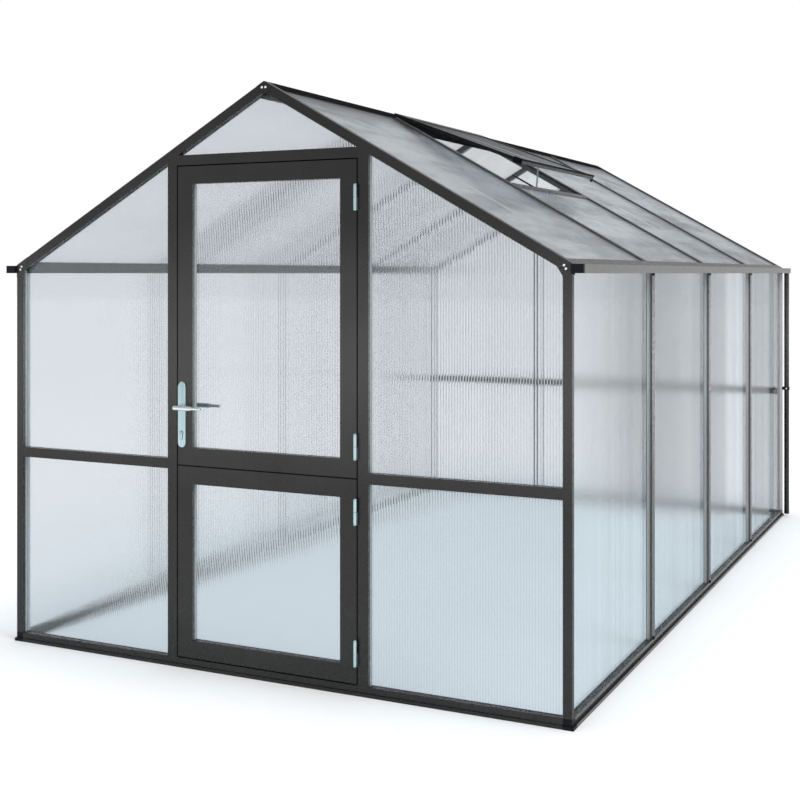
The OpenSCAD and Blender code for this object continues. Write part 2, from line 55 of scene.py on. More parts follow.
post_lo, post_hi = span("corner_posts")
HALF_W, FRONT, BACK = post_hi.x, post_lo.y, post_hi.y
FRAME_D = 0.032         # depth of the gable frames and the door leaves
SHEET_IN = 0.022        # depth of the gable sheets behind the frame's front face
SHEET_T = 0.008         # thickness of the sheets
BASE_H = span("base_ends")[1].z
RIDGE = span("front_rafters")[1].z
EAVE_LOW = span("gutters")[0].z
EAVE_H = 1.623          # height of the roof's outer line over the posts' outer faces
RISE = (RIDGE - EAVE_H) / HALF_W
PITCH = math.atan(RISE)
JAMB_W = 0.045          # face width of the door jambs
JAMB_X = span("door_jambs")[1].x - JAMB_W
LEAF_LO, LEAF_HI = span("upper_stiles")
LOWER_TOP = span("lower_stiles")[1].z
DOOR_GAP = 0.005        # between the upper leaf and the header
HEADER_Z = LEAF_HI.z + DOOR_GAP
PLATE_T = 0.002         # thickness of the joint plates on the gables
PIPE_X = span("downpipes")[1].x - 0.016
BRACKET_LO, BRACKET_HI = span("pipe_brackets")
BRACKET_R = 0.019       # outer radius of the ring that a bracket puts round its pipe
LEVER_LO, LEVER_HI = span("door_lever")
PLATE_LO, PLATE_HI = span("handle_plates")
KEY_LO, KEY_HI = span("lock_cylinder")
VENT_LO, VENT_HI = span("vent_rails")
VENT_OPEN = 8.8         # angle that the vent's leaf is raised from the roof, in degrees
VENT_HINGE_X = 0.030    # distance of its hinge line from the ridge's middle
VENT_LIFT = 0.013       # height of the leaf's top over the roof at its hinge line
GLEAM_H = 1.27         # height where a painted reflection makes the bars' coat palest
BAYS = 4
BAY = (BACK - FRONT) / BAYS


def roof_z(x):
    """Height of the roof's outer line."""
    return RIDGE - RISE * abs(x)


# ---------------------------------------------------------------- materials
class Graph:
    """Node graph of one material or world, with short calls to add nodes."""

    def __init__(self, tree):
        self.tree = tree
        tree.nodes.clear()

    def add(self, kind, ins=None, **props):
        node = self.tree.nodes.new(kind)
        for key, value in props.items():
            setattr(node, key, value)
        for key, value in (ins or {}).items():
            socket = node.inputs[key]
            if isinstance(value, bpy.types.NodeSocket):
                self.tree.links.new(value, socket)
            else:
                socket.default_value = value
        return node

    def math(self, op, a, b=0.0, clamp=False):
        return self.add("ShaderNodeMath", {0: a, 1: b}, operation=op, use_clamp=clamp).outputs[0]

    def vec(self, op, a, b=(0, 0, 0), scale=None):
        node = self.add("ShaderNodeVectorMath", {0: a, 1: b}, operation=op)
        if op == "SCALE":
            self.tree.links.new(scale, node.inputs["Scale"])
        return node.outputs["Vector"]

    def mix(self, fac, a, b):
        node = self.add("ShaderNodeMix", {"Factor": fac}, data_type="RGBA")
        for index, value in ((6, a), (7, b)):
            if isinstance(value, bpy.types.NodeSocket):
                self.tree.links.new(value, node.inputs[index])
            else:
                node.inputs[index].default_value = value
        return node.outputs[2]

    def shade(self, fac, a, b):
        node = self.add("ShaderNodeMixShader", {0: fac})
        self.tree.links.new(a, node.inputs[1])
        self.tree.links.new(b, node.inputs[2])
        return node.outputs[0]

    def plus(self, a, b):
        node = self.add("ShaderNodeAddShader")
        self.tree.links.new(a, node.inputs[0])
        self.tree.links.new(b, node.inputs[1])
        return node.outputs[0]

    def noise(self, vector, scale, detail=2.0, rough=0.5):
        ins = {"Vector": vector, "Scale": scale, "Detail": detail, "Roughness": rough}
        return self.add("ShaderNodeTexNoise", ins).outputs["Fac"]

    def spread(self, value, low, high, to_low, to_high):
        ins = {0: value, 1: low, 2: high, 3: to_low, 4: to_high}
        return self.add("ShaderNodeMapRange", ins).outputs[0]

    def ramp(self, value, *stops):
        """Grey tone along a value from 0 to 1, through (place, tone) stops."""
        node = self.add("ShaderNodeValToRGB", {0: value})
        band = node.color_ramp
        while len(band.elements) < len(stops):
            band.elements.new(0.5)
        for element, (place, tone) in zip(band.elements, stops):
            element.position = place
            element.color = (tone, tone, tone, 1)
        return node.outputs["Color"]

    def surface(self, shader, kind="Material"):
        out = self.add("ShaderNodeOutput" + kind)
        self.tree.links.new(shader, out.inputs["Surface"])


def new_material(name):
    m = bpy.data.materials.new(name)
    m.use_nodes = True
    return m, Graph(m.node_tree)


def rgba(c):
    return (*c, 1.0)


def grey(v):
    """Paint tone: the blue a touch under the rest."""
    return (v, v, v * 0.98, 1.0)


def by_the_sheets(g, axes, facing, tone, colour, across):
    """Changes the tones of bars that hold a sheet, and gives the share that looks outwards.

    A reveal and a slot are painted light, pale where the sheet lights them, the corner
    posts' outer faces are dull, with less painted light, and the gaps round the door leaves are
    painted shade.
    """
    depth = g.math("SUBTRACT", BACK, g.math("ABSOLUTE", axes["Y"]))
    lit = grey(0.6)
    # painted light on a reveal, where the sheet lights it
    across = g.mix(g.spread(depth, 0.012, 0.021, 0, 1), across, lit)
    # a duller painted tone on the corner posts' outer faces
    outer = g.spread(g.math("MULTIPLY", facing["X"], axes["X"]), 0.8, 1.0, 0, 1)
    across = g.mix(outer, across, g.mix(tone, grey(0.018), grey(0.1)))
    # painted shade in the gaps round the door leaves
    gap_shade = g.math("SUBTRACT", g.math("ABSOLUTE", axes["X"]), JAMB_X)
    gap_shade = g.spread(g.math("ABSOLUTE", gap_shade), 0.007, 0.010, 1, 0)
    across = g.mix(gap_shade, across, grey(0.003))
    # painted light in the slot that holds the sheet
    slot_end = SHEET_IN + SHEET_T
    after_face = g.spread(depth, SHEET_IN - 0.0015, SHEET_IN - 0.0005, 0, 1)
    before_end = g.spread(depth, slot_end + 0.0005, slot_end + 0.0015, 1, 0)
    colour = g.mix(g.math("MULTIPLY", after_face, before_end), colour, lit)
    return colour, across, outer


def paint(name, ends, lit_sides=None, gloss=0.27, specular=0.42, lit_rear=None, groove_shade=False,
          reveal=False):
    """Powder coat with slow random changes of tone, and a painted reflection that makes it a
    little paler at breast height.

    ends and sides are the tones at head and foot and at breast height, of the faces
    that look along the house and across it; sides are painted light on those across.
    rear is painted light on the faces in the back half that look forward. groove_shade
    paints shade on bars towards the wall's outside, where their groove lies in shadow,
    and reveal is for those that hold the gable sheets.
    """
    m, g = new_material(name)
    coord = g.add("ShaderNodeTexCoord")
    where = coord.outputs["Object"]
    axes = g.add("ShaderNodeSeparateXYZ", {0: where}).outputs
    facing = g.add("ShaderNodeSeparateXYZ", {0: coord.outputs["Normal"]}).outputs
    drift = g.spread(g.noise(where, 3.0, 3.0), 0.35, 0.65, -0.12, 0.12)
    # painted reflection: the coat is paler towards breast height
    from_gleam = g.math("ABSOLUTE", g.math("SUBTRACT", axes["Z"], GLEAM_H))
    tone = g.math("ADD", g.spread(from_gleam, 0.05, 0.55, 1, 0), drift, True)
    colour = g.mix(tone, grey(ends[0]), grey(ends[1]))
    # painted light on the faces in the back half that look forward
    if lit_rear:
        back_half = g.spread(axes["Y"], 0.0, 0.1, 0, 1)
        forward = g.spread(facing["Y"], -0.9, -0.5, 1, 0)
        colour = g.mix(g.math("MULTIPLY", back_half, forward), colour,
                       g.mix(tone, grey(lit_rear[0]), grey(lit_rear[1])))
    # painted shade on the bars' outer groove, towards the wall's outside
    if groove_shade:
        wide = g.math("ABSOLUTE", axes["X"])
        outside = g.spread(wide, HALF_W - 0.020, HALF_W - 0.002, 0, 0.85)
        colour = g.mix(outside, colour, (0.02, 0.02, 0.02, 1))
    # painted light on the faces that look across the house
    if lit_sides:
        turn = g.spread(g.math("ABSOLUTE", facing["X"]), 0.5, 0.9, 0, 1)
        across = g.mix(tone, grey(lit_sides[0]), grey(lit_sides[1]))
        if reveal:
            colour, across, outer = by_the_sheets(g, axes, facing, tone, colour, across)
            specular = g.spread(g.math("MULTIPLY", turn, outer), 0, 1, specular, 0.08)
        colour = g.mix(turn, colour, across)
    rough = g.spread(g.noise(where, 40.0, 2.0), 0.3, 0.7, gloss - 0.04, gloss + 0.04)
    bsdf = g.add("ShaderNodeBsdfPrincipled", {
        "Base Color": colour, "Roughness": rough, "Specular IOR Level": specular})
    g.surface(bsdf.outputs[0])
    return m


def plain(name, low, high, rough, specular=0.15):
    """Moulded plastic or rubber: two close tones in a fine grain."""
    m, g = new_material(name)
    where = g.add("ShaderNodeTexCoord").outputs["Object"]
    colour = g.mix(g.noise(where, 60.0, 2.0), rgba(low), rgba(high))
    bsdf = g.add("ShaderNodeBsdfPrincipled", {
        "Base Color": colour, "Roughness": rough, "Specular IOR Level": specular})
    g.surface(bsdf.outputs[0])
    return m


def metal(name, low, high, rough, metallic=0.9, inside=None):
    """Brushed metal; inside is painted shade, the darker tone given to what lies behind the
    door's face.
    """
    m, g = new_material(name)
    where = g.add("ShaderNodeTexCoord").outputs["Object"]
    tone = g.noise(where, 25.0, 2.0)
    colour = g.mix(tone, rgba(low), rgba(high))
    # painted shade on what lies behind the door's face
    if inside:
        y = g.add("ShaderNodeSeparateXYZ", {0: where}).outputs["Y"]
        colour = g.mix(g.spread(y, FRONT + 0.01, FRONT + 0.02, 0, 1), colour, rgba(inside))
    brushed = g.noise(g.vec("MULTIPLY", where, (60.0, 60.0, 900.0)), 1.0, 2.0)
    r = g.spread(brushed, 0.3, 0.7, rough - 0.05, rough + 0.05)
    bsdf = g.add("ShaderNodeBsdfPrincipled", {"Base Color": colour, "Roughness": r,
                                              "Metallic": metallic})
    g.surface(bsdf.outputs[0])
    return m


class Sheet:
    """Numbers for one kind of twin-wall sheet."""
    pitch = 0.0111          # distance of the cells' webs
    flat = (0.3, 0.6)       # share of a cell that looks straight through, left and right
    bend = 0.4              # how far the rest of a cell tips the surface
    blur = 0.12             # how far the sheet softens what lies behind
    haze = 0.08             # milkiness
    milk = (0.80, 0.825, 0.845)
    clear = (0.925, 0.938, 0.95)
    gloss = 1.0             # strength of the reflection
    gloss_top = 0.0         # what the faces that look up add to it
    gloss_tint = (0.98, 0.99, 1.0)
    gloss_rough = 0.1
    webs = 0.0              # how much darker the webs right of the door are
    right_blur = 0.08       # how far the sheet right of the door softens, with webs
    web_blur = 0.16         # what those webs add to it
    bands = False           # broad upright bands of painted reflection
    cloud = 0.0             # depth of soft patches of tone in the reflection
    crest = 0.22            # how far from the ridge the reflection is dark


def cell_places(g, along, pitch):
    """Number of the cell at a place along a sheet, and the place in it from -1 to 1."""
    cells = g.math("DIVIDE", along, pitch)
    cell = g.math("FLOOR", cells)
    inside = g.math("SUBTRACT", g.math("SUBTRACT", cells, cell), 0.5)
    return cell, g.math("MULTIPLY", inside, 2.0)


def cell_tilt(g, s, along, cell, inside):
    """Tilt of a cell's wall: none in its flat middle, more towards its webs."""
    flat = g.spread(along, -1.2, 1.2, *s.flat)
    ramp = g.math("SUBTRACT", g.math("ABSOLUTE", inside), flat)
    ramp = g.math("DIVIDE", g.math("MAXIMUM", ramp, 0.0), g.math("SUBTRACT", 1.0, flat))
    tilt = g.math("MULTIPLY", g.math("MULTIPLY", ramp, g.math("SIGN", inside)), s.bend)
    odd = g.add("ShaderNodeTexWhiteNoise", {"W": cell}, noise_dimensions="1D").outputs["Value"]
    odd = g.math("MULTIPLY", g.math("SUBTRACT", odd, 0.5), 0.02)
    return g.math("ADD", tilt, odd)


def dark_webs(g, s, x, inside, front):
    """Tone and blur right of the door, where the webs soften what lies behind."""
    right = g.spread(x, 0.3, 0.6, 0, 1)
    web = g.spread(g.math("ABSOLUTE", inside), 0.45, 0.70, 0, 1)
    web = g.math("MULTIPLY", g.math("MULTIPLY", web, right), front)
    clear = g.mix(web, rgba(s.clear), rgba([c * (1 - s.webs) for c in s.clear]))
    blur = g.spread(right, 0, 1, s.blur, s.right_blur)
    return clear, g.math("ADD", blur, g.math("MULTIPLY", web, s.web_blur))


def painted_side_bands(g, s, axes):
    """Painted reflection: broad upright bands of tone along a wall, over a low zone painted pale
    where the floor shows through.
    """
    place = g.spread(axes["Y"], FRONT, BACK, 0, 1)
    # painted reflection: bands of tone along the wall
    tone = g.ramp(place, (0.0, 0.95), (0.13, 0.81), (0.19, 0.715), (0.27, 0.725),
                  (0.42, 0.825), (0.51, 0.74), (0.60, 0.81), (0.63, 0.99), (0.69, 0.99),
                  (0.78, 0.80), (0.86, 0.79), (1.0, 0.9))
    # painted light: the low zone where the floor shows through is paler
    low = g.math("ADD", axes["Z"], g.math("MULTIPLY", axes["Y"], 0.18))
    tone = g.mix(g.spread(low, 0.33, 0.48, 1, 0), tone, (0.92, 0.935, 0.94, 1))
    return g.vec("MULTIPLY", tone, s.clear)


def cloudy_tint(g, s, where, axes):
    """Tint of a roof sheet's reflection: clouds, a gleam in each bay, and shadows by the
    bars and the ridge."""
    broad = g.noise(g.vec("MULTIPLY", where, (4.0, 0.9, 4.0)), 1.0, 6.0, 0.66)
    dim = rgba([c * (1 - s.cloud) for c in s.gloss_tint])
    tint = g.mix(g.spread(broad, 0.38, 0.58, 0, 1), dim, rgba(s.gloss_tint))
    bay = g.math("FRACT", g.math("DIVIDE", g.math("SUBTRACT", axes["Y"], FRONT), BAY))
    gleam = g.spread(g.math("ABSOLUTE", g.math("SUBTRACT", bay, 0.36)), 0.0, 0.035, 1, 0)
    along_bar = g.noise(g.vec("MULTIPLY", where, (2.6, 1.2, 2.6)), 1.0, 1.0)
    gleam = g.math("MULTIPLY", gleam, g.spread(along_bar, 0.48, 0.66, 0, 0.8))
    tint = g.mix(gleam, tint, (1.35, 1.37, 1.4, 1))
    shadow = g.math("POWER", g.spread(bay, 0.6, 1.0, 0, 1), 3.0)
    tint = g.mix(g.math("MULTIPLY", shadow, 0.85), tint, (0.28, 0.29, 0.31, 1))
    crest = g.spread(g.math("ABSOLUTE", axes["X"]), 0.03, s.crest, 0.8, 0)
    return g.mix(crest, tint, (0.18, 0.19, 0.20, 1))


def milky(g, s):
    """Milkiness: half of its light stays in front, the other half passes."""
    kept = g.add("ShaderNodeBsdfDiffuse", {"Color": rgba(s.milk)}).outputs[0]
    passed = g.add("ShaderNodeBsdfTranslucent", {"Color": rgba(s.milk)}).outputs[0]
    return g.shade(0.5, kept, passed)


def mirror_share(g, s, normal, front):
    """Share of the light that the outer face mirrors, with more where it looks up."""
    up = g.add("ShaderNodeSeparateXYZ", {0: normal}).outputs["Z"]
    strength = g.spread(up, 0.0, 0.3, s.gloss, s.gloss + s.gloss_top)
    fresnel = g.add("ShaderNodeFresnel", {"IOR": 1.5}).outputs[0]
    share = g.math("MULTIPLY", g.math("MULTIPLY", fresnel, strength), front)
    return g.math("MINIMUM", share, 0.85)


def twin_wall(name, across, **numbers):
    """Twin-wall sheet: long hollow cells whose webs act as narrow lenses."""
    s = Sheet()
    for key, value in numbers.items():
        setattr(s, key, value)
    m, g = new_material(name)
    m.cycles.use_bump_map_correction = False    # keeps the tipped normals as they are
    geo = g.add("ShaderNodeNewGeometry")
    normal = geo.outputs["Normal"]
    back = geo.outputs["Backfacing"]
    front = g.math("SUBTRACT", 1.0, back)
    where = g.add("ShaderNodeTexCoord").outputs["Object"]
    axes = g.add("ShaderNodeSeparateXYZ", {0: where}).outputs
    cell, inside = cell_places(g, axes[across], s.pitch)
    tilt = cell_tilt(g, s, axes[across], cell, inside)
    tilt = g.math("MULTIPLY", tilt, g.math("SUBTRACT", front, back))
    axis = [1.0 if across == one else 0.0 for one in "XYZ"]
    along = g.add("ShaderNodeVectorTransform", {0: axis}, vector_type="VECTOR",
                  convert_from="OBJECT", convert_to="WORLD").outputs[0]
    bent = g.vec("NORMALIZE", g.vec("ADD", normal, g.vec("SCALE", along, scale=tilt)))
    clear, blur = rgba(s.clear), s.blur
    if s.webs:
        clear, blur = dark_webs(g, s, axes["X"], inside, front)
    if s.bands:
        clear = painted_side_bands(g, s, axes)
    pass_on = g.add("ShaderNodeBsdfRefraction", {
        "Color": clear, "Roughness": blur, "IOR": 1.2, "Normal": bent}).outputs[0]
    body = g.shade(g.math("MULTIPLY", front, s.haze), pass_on, milky(g, s))
    tint = cloudy_tint(g, s, where, axes) if s.cloud else rgba(s.gloss_tint)
    shine = g.add("ShaderNodeBsdfGlossy", {
        "Color": tint, "Roughness": s.gloss_rough, "Normal": normal}).outputs[0]
    seen = g.shade(mirror_share(g, s, normal, front), body, shine)
    path = g.add("ShaderNodeLightPath").outputs
    dull = g.math("MAXIMUM", path["Is Shadow Ray"], path["Is Diffuse Ray"])
    let = g.add("ShaderNodeBsdfTransparent", {"Color": (0.86, 0.918, 0.952, 1)}).outputs[0]
    g.surface(g.shade(dull, seen, let))
    return m


# each coat's second tones are painted light on the faces that look across, and the posts'
# back-half tones are painted light on faces that look forward
frame_paint = paint("frame_powder_coat", (0.007, 0.047), (0.03, 0.13))
front_paint = paint("front_powder_coat", (0.007, 0.047), (0.08, 0.20), reveal=True)
post_paint = paint("post_powder_coat", (0.007, 0.047), (0.03, 0.13), lit_rear=(0.5, 0.6),
                   reveal=True)
# the pale tones of the wall bars' faces that look along the house are painted light from the
# sheets beside them
bar_paint = paint("bar_powder_coat", (0.45, 0.60), (0.01, 0.18), specular=0.2, groove_shade=True)
roof_bar_paint = paint("roof_bar_powder_coat", (0.06, 0.10), (0.10, 0.15), 0.4)
vent_paint = paint("vent_powder_coat", (0.012, 0.03), (0.03, 0.10), specular=0.1)
ridge_paint = paint("ridge_powder_coat", (0.012, 0.02), specular=0.0)
gutter_paint = paint("gutter_powder_coat", (0.05, 0.05), (0.12, 0.13), 0.4)
black_plastic = plain("black_plastic", (0.004, 0.005, 0.009), (0.006, 0.008, 0.013), 0.55)
rubber = plain("black_rubber", (0.003, 0.003, 0.0035), (0.006, 0.006, 0.006), 0.75, 0.1)
steel = metal("brushed_steel", (0.42, 0.57, 0.61), (0.50, 0.65, 0.69), 0.3)
stay_steel = metal("stay_steel", (0.20, 0.22, 0.23), (0.28, 0.30, 0.31), 0.35)
# the lever behind the door gets a darker painted shade
bright_steel = metal("bright_steel", (0.72, 0.80, 0.80), (0.80, 0.86, 0.86), 0.28,
                     inside=(0.22, 0.29, 0.30))
screw_steel = metal("screw_steel", (0.85, 0.87, 0.87), (0.92, 0.93, 0.93), 0.35, 0.6)
sheet_x = twin_wall("twin_wall_gable", "X", flat=(0.3, 0.6), blur=0.06, webs=0.09,
                    clear=(0.889, 0.902, 0.915))
sheet_left = twin_wall("twin_wall_left", "Y", flat=(0.4, 0.4), bend=0.2,
                       blur=0.08, gloss=0.9, gloss_tint=(0.75, 0.77, 0.78),
                       clear=(0.92, 0.93, 0.938))
sheet_right = twin_wall("twin_wall_right", "Y", flat=(0.4, 0.4), bend=0.05, bands=True,
                        blur=0.15, gloss=0.5, gloss_tint=(0.95, 0.97, 0.98),
                        clear=(0.962, 0.979, 0.991))
sheet_roof = twin_wall("twin_wall_roof", "Y", flat=(0.4, 0.4), bend=0.1, gloss=0.8,
                       gloss_top=1.7, gloss_rough=0.2, cloud=0.35,
                       gloss_tint=(0.92, 0.97, 1.02), clear=(0.925, 0.935, 0.942))
# the vent's sheet is a darker copy of the roof sheet: its dark milk and dim reflection tint are
# painted shade
sheet_vent = twin_wall("twin_wall_vent", "Y", flat=(0.4, 0.4), bend=0.1, gloss=0.8,
                       gloss_top=1.7, gloss_rough=0.2, milk=(0.3, 0.31, 0.32), haze=0.4,
                       cloud=0.35, crest=0.6, gloss_tint=(0.55, 0.57, 0.59))

LOOKS = {
    "gutters": gutter_paint, "gutter_caps": black_plastic, "base_corners": black_plastic,
    "door_jambs": front_paint, "upper_stiles": front_paint, "lower_stiles": front_paint,
    "roof_bars_left": roof_bar_paint, "roof_bars_right": roof_bar_paint,
    "back_rafters": roof_bar_paint, "vent_stiles": vent_paint, "vent_rails": vent_paint,
    "pipe_brackets": black_plastic, "corner_posts": post_paint, "ridge_beam": ridge_paint,
    "wall_bars_left": bar_paint, "wall_bars_right": bar_paint,
    "front_sheets": sheet_x, "back_sheets": sheet_x, "upper_sheet": sheet_x,
    "lower_sheet": sheet_x, "left_sheets": sheet_left, "right_sheets": sheet_right,
    "left_roof_sheets": sheet_roof, "right_roof_sheets": sheet_roof, "vent_sheet": sheet_vent,
    "vent_stay": stay_steel, "frame_hinges": steel, "upper_hinges": steel,
    "lower_hinges": steel, "handle_plates": steel, "lock_cylinder": steel,
    "door_lever": bright_steel,
}
for node_name, node_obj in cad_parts.items():
    for material_slot in node_obj.material_slots:
        material_slot.material = LOOKS.get(node_name, frame_paint)


# ---------------------------------------------------------------- mesh tools
def frame_of(axis):
    """Two directions square to an axis."""
    axis = Vector(axis).normalized()
    side = axis.orthogonal().normalized()
    return axis, side, axis.cross(side)


def lathe(bm, place, axis, profile, steps=24):
    """Turns a profile of (radius, distance) pairs about an axis."""
    axis, u, v = frame_of(axis)
    place = Vector(place)
    rings = []
    for r, h in profile:
        if r < 1e-7:
            rings.append([bm.verts.new(place + axis * h)])
            continue
        ring = []
        for i in range(steps):
            a = 2 * math.pi * i / steps
            ring.append(bm.verts.new(place + axis * h + (u * math.cos(a) + v * math.sin(a)) * r))
        rings.append(ring)
    for a, b in zip(rings, rings[1:]):
        for i in range(steps):
            j = (i + 1) % steps
            if len(a) == 1:
                bm.faces.new((a[0], b[j], b[i]))
            elif len(b) == 1:
                bm.faces.new((a[i], a[j], b[0]))
            else:
                bm.faces.new((a[i], a[j], b[j], b[i]))


def block(bm, lo, hi, edge=0.0008, turn=None):
    """Box with rounded edges between two corners."""
    lo, hi = Vector(lo), Vector(hi)
    made = bmesh.ops.create_cube(bm, size=1.0)["verts"]
    size = hi - lo
    for v in made:
        v.co = Vector([lo[k] + (v.co[k] + 0.5) * size[k] for k in range(3)])
    edges = {e for v in made for e in v.link_edges}
    out = bmesh.ops.bevel(bm, geom=list(edges), offset=edge, segments=2, profile=0.6,
                          affect="EDGES")
    if turn:
        verts = {v for f in out["faces"] for v in f.verts}
        for v in verts:
            v.co = turn(v.co)


def offset_loop(loop, d):
    """A closed 2D outline, anticlockwise, moved inwards by d."""
    out = []
    n = len(loop)
    for i in range(n):
        a, b, c = (Vector(loop[(i + k) % n]) for k in (-1, 0, 1))
        e1, e2 = (b - a).normalized(), (c - b).normalized()
        n1, n2 = Vector((-e1.y, e1.x)), Vector((-e2.y, e2.x))
        m = (n1 + n2).normalized()
        out.append(tuple(b + m * (d / max(0.5, m.dot(n1)))))
    return out


def slab(bm, loop, place, depth, edge=0.0, rounds=3):
    """Plate with a 2D outline; place(a, b, h) gives its points, edge rounds its top."""
    levels = [(0.0, 0.0), (0.0, depth - edge)]
    for k in range(1, rounds + 1):
        a = math.pi / 2 * k / rounds
        levels.append((edge * (1 - math.cos(a)), depth - edge + edge * math.sin(a)))
    if not edge:
        levels = levels[:2]
    rings = []
    for inwards, h in levels:
        rings.append([bm.verts.new(place(a, b, h)) for a, b in offset_loop(loop, inwards)])
    n = len(loop)
    for p, q in zip(rings, rings[1:]):
        for i in range(n):
            j = (i + 1) % n
            bm.faces.new((p[i], p[j], q[j], q[i]))
    bm.faces.new(rings[-1])
    bm.faces.new(list(reversed(rings[0])))


def rail(bm, section, place, start, end):
    """A section's outline pushed along a line; place(a, b, l) gives its points."""
    ends = [[bm.verts.new(place(a, b, l)) for a, b in section] for l in (start, end)]
    n = len(section)
    for i in range(n):
        j = (i + 1) % n
        bm.faces.new((ends[0][i], ends[0][j], ends[1][j], ends[1][i]))
    bm.faces.new(ends[1])
    bm.faces.new(list(reversed(ends[0])))


def piece(name, bm, look, body, slot, *nodes, angle=35):
    """Turns collected faces into a piece that moves with a body."""
    bmesh.ops.recalc_face_normals(bm, faces=bm.faces)
    for f in bm.faces:
        f.smooth = True
    limit = math.radians(angle)
    for e in bm.edges:
        e.smooth = len(e.link_faces) == 2 and e.calc_face_angle(0) < limit
    me = bpy.data.meshes.new(name)
    bm.to_mesh(me)
    bm.free()
    me.materials.append(look)
    obj = bpy.data.objects.new(name, me)
    bpy.context.scene.collection.objects.link(obj)
    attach(obj, body)
    if nodes:
        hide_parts(*nodes)
    return obj


# ---------------------------------------------------------------- fasteners
SINK = 0.0005           # how deep heads and washers reach into what they sit on
WASHER_T = 0.0012       # thickness of the washers


def dome(r, h):
    """Profile of a dome head with a small socket."""
    profile = [(0, h * 0.5), (r * 0.3, h * 0.5), (r * 0.3, h)]
    rim = math.asin(0.3)
    for k in range(1, 6):
        along = math.sin(rim + (math.pi / 2 - rim) * k / 6)
        drop = max(0.18, math.cos(math.pi / 2 * k / 6))
        profile.append((r * along, h * drop))
    return profile + [(r, h * 0.15), (r, -SINK), (0, -SINK)]


def washer(r, t):
    """Profile of a washer with a worn rim."""
    return [(0, t), (r - 0.0006, t), (r, t * 0.5), (r, -SINK), (0, -SINK)]


def bolts(name, spots, outward, r=0.0052, h=0.0032):
    """Dome heads as one piece, and the washers under them as another."""
    heads, washers = bmesh.new(), bmesh.new()
    outward = Vector(outward)
    for spot in spots:
        lathe(washers, spot, outward, washer(r + 0.0022, WASHER_T))
        lathe(heads, Vector(spot) + outward * WASHER_T, outward, dome(r, h))
    piece(name + "_heads", heads, screw_steel, HOUSE, "steel")
    piece(name + "_washers", washers, rubber, HOUSE, "black_plastic")


def plate_bolts():
    """Two bolts on each eaves joint plate and two on each gable's apex plate."""
    for name, y, way in (("front", FRONT - PLATE_T, -1), ("back", BACK + PLATE_T, 1)):
        spots = []
        for side in (-1, 1):
            spots.append((side * (HALF_W - 0.0285), y, EAVE_H - 0.007))
            spots.append((side * (HALF_W - 0.0215), y, EAVE_H - 0.0194))
            spots.append((side * 0.0082, y, RIDGE - 0.025))
        bolts(name + "_bolt", spots, (0, way, 0))


def bracket_bolts():
    """One bolt on the front of each downpipe's bracket."""
    y = BRACKET_HI.y - 2 * BRACKET_R
    z = (BRACKET_LO.z + BRACKET_HI.z) / 2
    spots = [(side * PIPE_X, y, z) for side in (-1, 1)]
    bolts("bracket_bolt", spots, (0, -1, 0), 0.0055, 0.004)


# ---------------------------------------------------------------- rubber
END_H = 0.010           # height of the blocks that close the wall bars
SEAL_IN = 0.003         # how far the door's seals stand into the doorway
SEAL_DEPTHS = [FRONT + depth for depth in (0.022, 0.033, 0.035)]


def bar_ends():
    """Rubber blocks that close the wall bars' grooves at both ends."""
    bm = bmesh.new()
    for bar in range(1, BAYS):
        y = FRONT + bar * BAY
        for side in (-1, 1):
            x0, x1 = sorted((side * (HALF_W - 0.001), side * (HALF_W + 0.006)))
            for z in (EAVE_LOW - END_H, BASE_H):
                block(bm, (x0, y - 0.016, z), (x1, y + 0.004, z + END_H), 0.0012)
    piece("bar_end_blocks", bm, rubber, HOUSE, "black_plastic")


def lip(edge, way, beside, behind, end):
    """Section of a seal on an edge of the doorway: thin beside a leaf, higher behind it."""
    near, middle, far = SEAL_DEPTHS
    points = [(0, near), (beside, near), (beside, middle), (behind, middle), (end, far), (0, far)]
    return [(edge + way * height, y) for height, y in points]


def door_seals():
    """Seals on the jambs, the header and the threshold."""
    bm = bmesh.new()
    for side in (-1, 1):
        upright = lip(side * JAMB_X, -side, SEAL_IN, 0.0072, 0.0075)
        rail(bm, upright, lambda x, y, z: (x, y, z), BASE_H, HEADER_Z)
    head = lip(HEADER_Z, -1, 0.0038, 0.0102, 0.0105)
    foot = lip(BASE_H, 1, SEAL_IN, 0.0078, 0.008)
    for level in (head, foot):
        rail(bm, level, lambda z, y, x: (x, y, z), SEAL_IN - JAMB_X, JAMB_X - SEAL_IN)
    piece("door_seals", bm, rubber, HOUSE, "black_plastic")


def split_seal():
    """Seal along the lower leaf's top, under the upper leaf."""
    bm = bmesh.new()
    bulb = [(0.002, 0.0), (0.002, 0.003), (0.004, 0.004),
            (0.028, 0.004), (0.030, 0.003), (0.030, 0.0)]
    rail(bm, bulb, lambda depth, height, x: (x, FRONT + depth, LOWER_TOP + height),
         LEAF_LO.x + 0.001, LEAF_HI.x - 0.001)
    piece("split_seal", bm, rubber, LOWER, "black_plastic")


# ---------------------------------------------------------------- hinges
HINGE_Y = FRONT - 0.012                 # the hinges' turning line
HALF_FROM, HALF_TO = 0.0005, 0.0515     # ends of a leaf's barrel over the hinge's middle


def hinge_heights():
    """Heights of the hinges' middles: the barrels on the leaves give them."""
    heights = {}
    for node in ("upper_hinges", "lower_hinges"):
        lo, hi = span(node)
        heights[node] = (lo.z - HALF_FROM, hi.z - HALF_TO)
    heights["frame_hinges"] = heights["upper_hinges"] + heights["lower_hinges"]
    return heights


def knuckle(bm, x, y, z, way):
    """Barrel with a domed end and a ring near it; way is the side of its end."""
    profile = [(0.0, 0.0515), (0.003, 0.0512), (0.0053, 0.0502), (0.0066, 0.0485),
               (0.007, 0.0465), (0.007, 0.0448), (0.0064, 0.0443), (0.0064, 0.0436),
               (0.007, 0.0431), (0.007, 0.0009), (0.0066, 0.0004), (0.0, 0.0004)]
    lathe(bm, (x, y, z), (0, 0, way), profile)


